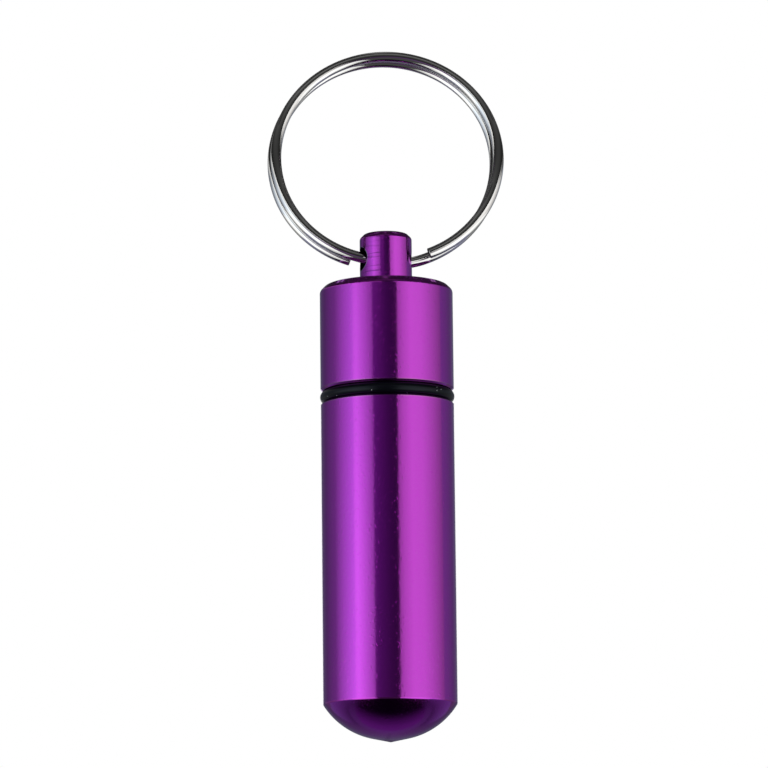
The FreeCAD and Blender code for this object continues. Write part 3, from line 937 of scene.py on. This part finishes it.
def make_studio():
    """Two lamps for the soft light, and the cards that the bright metal reflects."""
    far_low_stops = ((72, 0.8), (88, 0.6), (104, 0.2), (125, 0.15), (150, 0.14))
    low_flag_stops = ((150, 0.12), (180, 0.18))
    top_flag_stops = ((0, 0.07), (25, 0.07), (50, 0.03), (120, 0.02))
    skirt_stops = ((70, 0.012), (110, 0.085), (180, 0.16))
    # Name, lower and upper border, tint, share of the brightness at the top, stops of (azimuth, brightness)
    side_cards = (
        ("front_flag", FRONT_SILL, LINTEL, DUSK, 1.0, ((-26, 0.17), (-16, 0.12), (0, 0.07), (16, 0.03))),
        ("front_low_flag", CARD_FOOT, FRONT_SILL, GREY, 1.0, ((-26, 0.06), (16, 0.06))),
        ("front_top_flag", LINTEL, TRANSOM_TOP, GREY, 1.0, ((-9, 0.03), (9, 0.03))),
        ("left_window", SILL, RAIL, COOL, 1.07, ((-62, 1.22), (-56, 1.34), (-36, 0.77), (-26, 0.47))),
        ("left_window_head", RAIL, LINTEL, COOL, 0.6, ((-62, 1.3), (-56, 1.43), (-36, 0.82), (-26, 0.5))),
        ("left_transom", LINTEL, TRANSOM_TOP, GREY, 2.0, ((-62, 0.7), (-45, 0.7), (-20, 0.65), (-9, 0.6))),
        ("left_low_window", LOW_SILL, SILL, GREY, 1.4, ((-72, 1.1), (-56, 1.2), (-36, 0.95), (-26, 0.85))),
        ("left_foot_window", CARD_FOOT, LOW_SILL, GREY, 1.0,
         ((-72, 0.4), (-56, 0.8), (-36, 0.5), (-26, 0.1))),
        ("left_far_window", SILL, LINTEL, BLUE, 0.6, ((-104, 0.34), (-72, 1.0), (-62, 1.25))),
        ("left_far_transom", LINTEL, TRANSOM_TOP, GREY, 1.5,
         ((-180, 0.1), (-130, 0.3), (-95, 0.5), (-62, 0.7))),
        ("left_far_low_window", FAR_SILL, SILL, GREY, 1.9, mirrored(far_low_stops)),
        ("left_far_foot", CARD_FOOT, FAR_SILL, VIOLET, 3.8,
         ((-150, 0.06), (-104, 0.056), (-84, 0.08), (-72, 0.13))),
        ("left_flag", SILL, LINTEL, SLATE, 1.0, ((-166, 0.17), (-136, 0.15), (-104, 0.27))),
        ("left_low_flag", CARD_FOOT, SILL, SLATE, 1.0, mirrored(low_flag_stops)),
        ("right_window", SILL, LINTEL, WARM, 1.05,
         ((16, 0.5), (24, 0.74), (40, 1.0), (60, 0.93), (104, 0.34))),
        ("right_transom", LINTEL, TRANSOM_TOP, GREY, 1.7, ((9, 0.6), (24, 0.8), (45, 0.8), (62, 0.5))),
        ("right_low_window", LOW_SILL, SILL, GREY, 1.0,
         ((16, 0.9), (24, 1.1), (40, 1.35), (60, 1.4), (72, 1.2))),
        ("right_foot_window", CARD_FOOT, LOW_SILL, GREY, 1.0,
         ((16, 0.1), (24, 0.3), (40, 0.9), (60, 0.9), (72, 0.4))),
        ("right_far_transom", LINTEL, TRANSOM_TOP, GREY, 1.0, ((62, 0.5), (90, 0.12), (180, 0.06))),
        ("right_far_low_window", FAR_SILL, SILL, GREY, 1.7, far_low_stops),
        ("right_far_foot", CARD_FOOT, FAR_SILL, VIOLET, 3.8,
         ((72, 0.13), (84, 0.08), (110, 0.056), (150, 0.06))),
        ("right_flag", SILL, LINTEL, SLATE, 1.0, ((104, 0.3), (136, 0.19), (166, 0.22))),
        ("right_low_flag", CARD_FOOT, SILL, SLATE, 1.0, low_flag_stops),
        ("rear_head_flag", REAR_RAIL, LINTEL, SLATE, 1.0, ((166, 0.2), (194, 0.2))),
        ("skirt", SKIRT_FOOT, CARD_FOOT, VIOLET, 1.0, mirrored(skirt_stops) + ((0, 0.003),) + skirt_stops),
        ("dark_frieze", TRANSOM_TOP, FRIEZE_TOP, GREY, 12.0, ((-120, 0.006), (120, 0.006))),
        ("left_top_flag", FRIEZE_TOP, CARD_TOP, GREY, 4.0, mirrored(top_flag_stops)),
        ("right_top_flag", FRIEZE_TOP, CARD_TOP, GREY, 4.0, top_flag_stops),
        ("rear_top_flag", TRANSOM_TOP, CARD_TOP, GREY, 1.0, ((120, 0.05), (240, 0.05))),
    )
    # Name, height, measure, tint, stops of (metres, brightness)
    level_cards = (
        ("ceiling", CEILING_HEIGHT, rear_strip_of, GREY,
         ((-0.3, 0.035), (0.05, 0.035), (0.1, 0.35), (0.3, 0.4))),
        ("low_flag", LOW_FLAG_HEIGHT, depth_of, DUSK, ((-0.01, 0.002), (0.06, 0.06), (0.2, 0.15))),
    )
    glow = painted_glow("studio_card")
    for card in side_cards:
        side_card(*card, glow)
    for card in level_cards:
        level_card(*card, glow)
    make_lamp(
        "left_lamp", azimuth=-56, height=0.03, reach=0.45, width=0.09, tall=0.5, power=0.12,
        colour=(0.93, 0.95, 1.0),
    )
    make_lamp(
        "right_lamp", azimuth=45, height=0.06, reach=0.6, width=0.3, tall=0.6, power=0.2,
        colour=(1.0, 0.97, 0.97),
    )


barrel_rim = barrel_place.z / MM + BARREL_LENGTH - RIM_BREAK
cap_rim = cap_place.z / MM + RIM_BREAK
make_barrel(anodised_aluminium("purple_anodising", barrel_rim, BARREL_WAVE_DEPTH, drilled=False))
make_cap(anodised_aluminium("drilled_purple_anodising", cap_rim, CAP_WAVE_DEPTH, drilled=True))
make_seal(black_rubber())
make_ring(plated_wire(), cut_wire())
make_world()
make_floor()
make_studio()
make_camera()
bpy.context.scene.view_settings.view_transform = "Standard"
